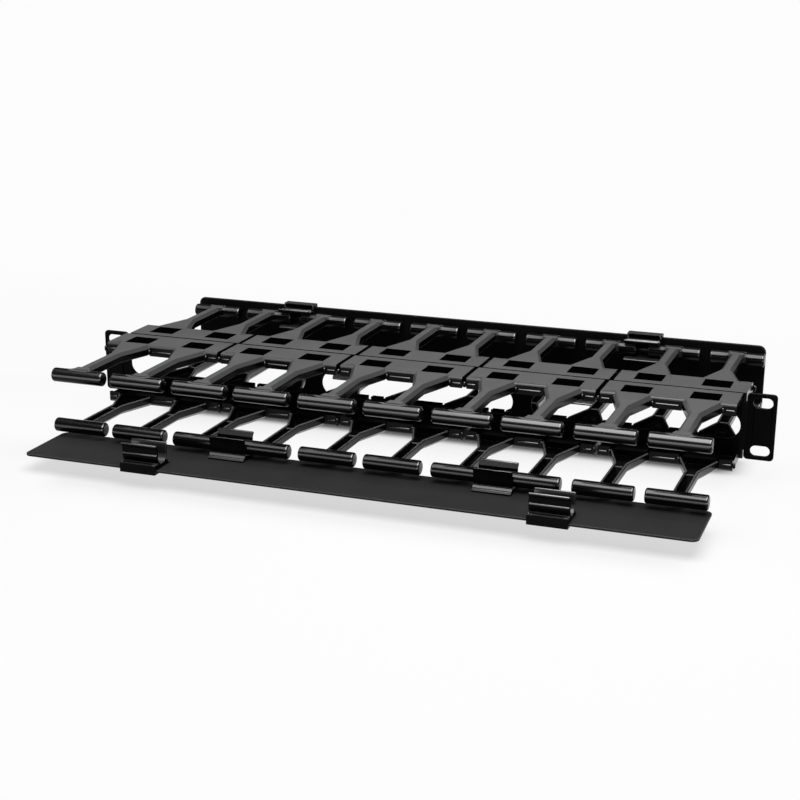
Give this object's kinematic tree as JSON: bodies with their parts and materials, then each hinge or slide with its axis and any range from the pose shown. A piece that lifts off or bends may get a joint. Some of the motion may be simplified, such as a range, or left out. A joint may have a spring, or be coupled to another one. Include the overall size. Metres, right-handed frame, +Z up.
{
  "type": "horizontal cable manager",
  "caption": "1U rack cable manager, fingered on both sides, with a steel panel, pass-throughs and clip-on hinged covers; front cover open, rear cover shut.",
  "frame": {"origin": "centre of the four ear slots, on the rear face of the ears, which meets the rack rails", "axes": "+X along the rack width to the right as seen from the front, +Y into the rack, +Z up; the front fingers point along -Y"},
  "size_m": [0.4826, 0.2635, 0.056],
  "materials": {
    "panel_steel": "satin black powder coat",
    "finger_plastic": "satin to semi-gloss black moulding",
    "cover_steel": "fine textured black powder coat",
    "clip_plastic": "semi-gloss black moulding"
  },
  "bodies": {
    "frame": {"front_lower_fingers_1": "finger_plastic", "front_lower_fingers_2": "finger_plastic", "front_lower_fingers_3": "finger_plastic", "front_lower_fingers_4": "finger_plastic", "front_lower_fingers_5": "finger_plastic", "front_upper_fingers_1": "finger_plastic", "front_upper_fingers_2": "finger_plastic", "front_upper_fingers_3": "finger_plastic", "front_upper_fingers_4": "finger_plastic", "front_upper_fingers_5": "finger_plastic", "rack_panel": "panel_steel", "rear_lower_fingers_1": "finger_plastic", "rear_lower_fingers_2": "finger_plastic", "rear_lower_fingers_3": "finger_plastic", "rear_lower_fingers_4": "finger_plastic", "rear_lower_fingers_5": "finger_plastic", "rear_upper_fingers_1": "finger_plastic", "rear_upper_fingers_2": "finger_plastic", "rear_upper_fingers_3": "finger_plastic", "rear_upper_fingers_4": "finger_plastic", "rear_upper_fingers_5": "finger_plastic"},
    "front_cover": {"front_cover": "cover_steel", "front_cover_hinge_clip_left": "clip_plastic", "front_cover_hinge_clip_right": "clip_plastic", "front_cover_latch_clip_left": "clip_plastic", "front_cover_latch_clip_right": "clip_plastic"},
    "rear_cover": {"rear_cover": "cover_steel", "rear_cover_hinge_clip_left": "clip_plastic", "rear_cover_hinge_clip_right": "clip_plastic", "rear_cover_latch_clip_left": "clip_plastic", "rear_cover_latch_clip_right": "clip_plastic"}
  },
  "joints": [
    {"name": "front_cover_hinge", "type": "hinge", "parent": "frame", "child": "front_cover", "pos_m": [0, -0.10675, -0.0174], "axis": [1, 0, 0], "range_deg": [-90, 12]},
    {"name": "rear_cover_hinge", "type": "hinge", "parent": "frame", "child": "rear_cover", "pos_m": [0, 0.10075, -0.0174], "axis": [1, 0, 0], "range_deg": [-102, 0]}
  ]
}
